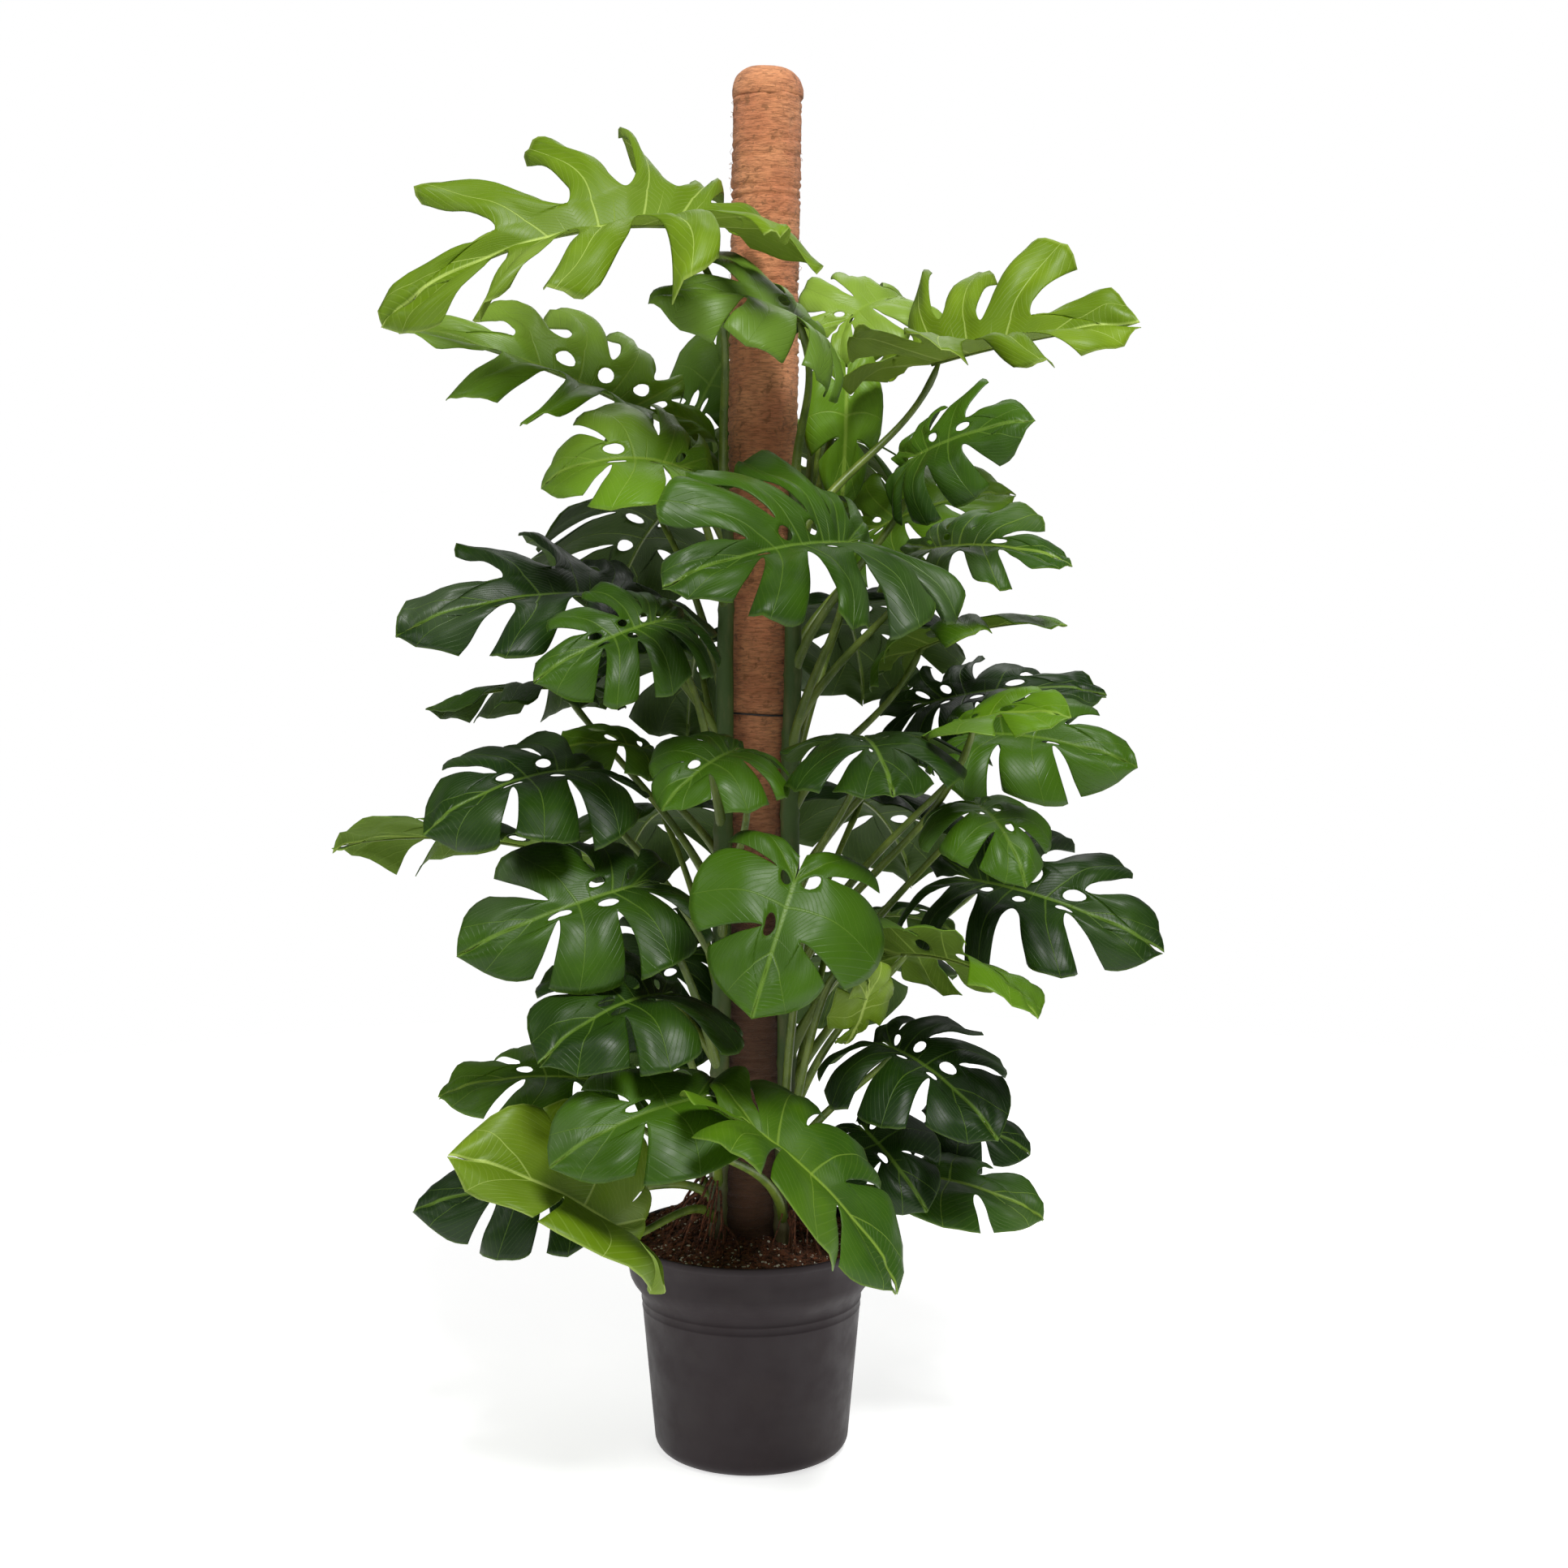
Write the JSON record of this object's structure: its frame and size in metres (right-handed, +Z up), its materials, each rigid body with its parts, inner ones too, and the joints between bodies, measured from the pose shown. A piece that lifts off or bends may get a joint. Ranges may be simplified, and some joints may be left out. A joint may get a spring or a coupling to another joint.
{
  "type": "potted swiss cheese plant",
  "caption": "Tall potted climbing plant with large cut leaves on a coir pole, in a tapered plastic nursery pot.",
  "frame": {"origin": "centre of the pot's flat underside, on the pot's axis", "axes": "+Z up along the pot's axis and the pole, -Y towards the side that the picture shows, +X to its right"},
  "size_m": [0.8652, 0.7375, 1.45],
  "materials": {
    "pot_plastic": "matt, dark grey",
    "potting_soil": "loose crumbs, reddish brown",
    "coir_fibre": "coarse fibre, orange brown",
    "pipe_plastic": "plain",
    "tie_wire": "plastic-coated wire",
    "green_stem": "satin, green with brown nodes",
    "leaf_dark": "glossy dark green, mature leaf",
    "leaf_fresh": "satin mid green leaf",
    "leaf_young": "satin yellow-green, young leaf"
  },
  "bodies": {
    "root": {"pot": "pot_plastic", "soil": "potting_soil", "pole_pipe": "pipe_plastic", "coir_wrap": "coir_fibre", "coir_cap": "coir_fibre", "pole_tie": "tie_wire", "stem_1": "green_stem", "stem_2": "green_stem", "stem_3": "green_stem", "stem_4": "green_stem", "leaf_01": "leaf_young", "leaf_02": "leaf_fresh", "leaf_03": "leaf_dark", "leaf_04": "leaf_fresh", "leaf_05": "leaf_young", "leaf_06": "leaf_dark", "leaf_07": "leaf_fresh", "leaf_08": "leaf_dark", "leaf_09": "leaf_fresh", "leaf_10": "leaf_fresh", "leaf_11": "leaf_fresh", "leaf_12": "leaf_dark", "leaf_13": "leaf_dark", "leaf_14": "leaf_dark", "leaf_15": "leaf_fresh", "leaf_16": "leaf_dark", "leaf_17": "leaf_fresh", "leaf_18": "leaf_dark", "leaf_19": "leaf_dark", "leaf_20": "leaf_dark", "leaf_21": "leaf_dark", "leaf_22": "leaf_dark", "leaf_23": "leaf_fresh", "leaf_24": "leaf_dark", "leaf_25": "leaf_dark", "leaf_26": "leaf_dark", "leaf_27": "leaf_dark", "leaf_28": "leaf_fresh", "leaf_29": "leaf_young", "leaf_30": "leaf_fresh", "leaf_31": "leaf_dark", "leaf_32": "leaf_dark", "leaf_33": "leaf_young", "leaf_34": "leaf_fresh", "leaf_35": "leaf_dark", "leaf_36": "leaf_fresh", "leaf_37": "leaf_dark", "leaf_38": "leaf_dark", "leaf_39": "leaf_fresh", "leaf_40": "leaf_dark", "leaf_41": "leaf_dark", "leaf_42": "leaf_dark", "leaf_43": "leaf_fresh", "leaf_44": "leaf_dark", "leaf_45": "leaf_dark", "leaf_46": "leaf_dark", "leaf_47": "leaf_dark", "leaf_48": "leaf_dark", "leaf_49": "leaf_dark", "leaf_50": "leaf_dark"}
  },
  "joints": []
}
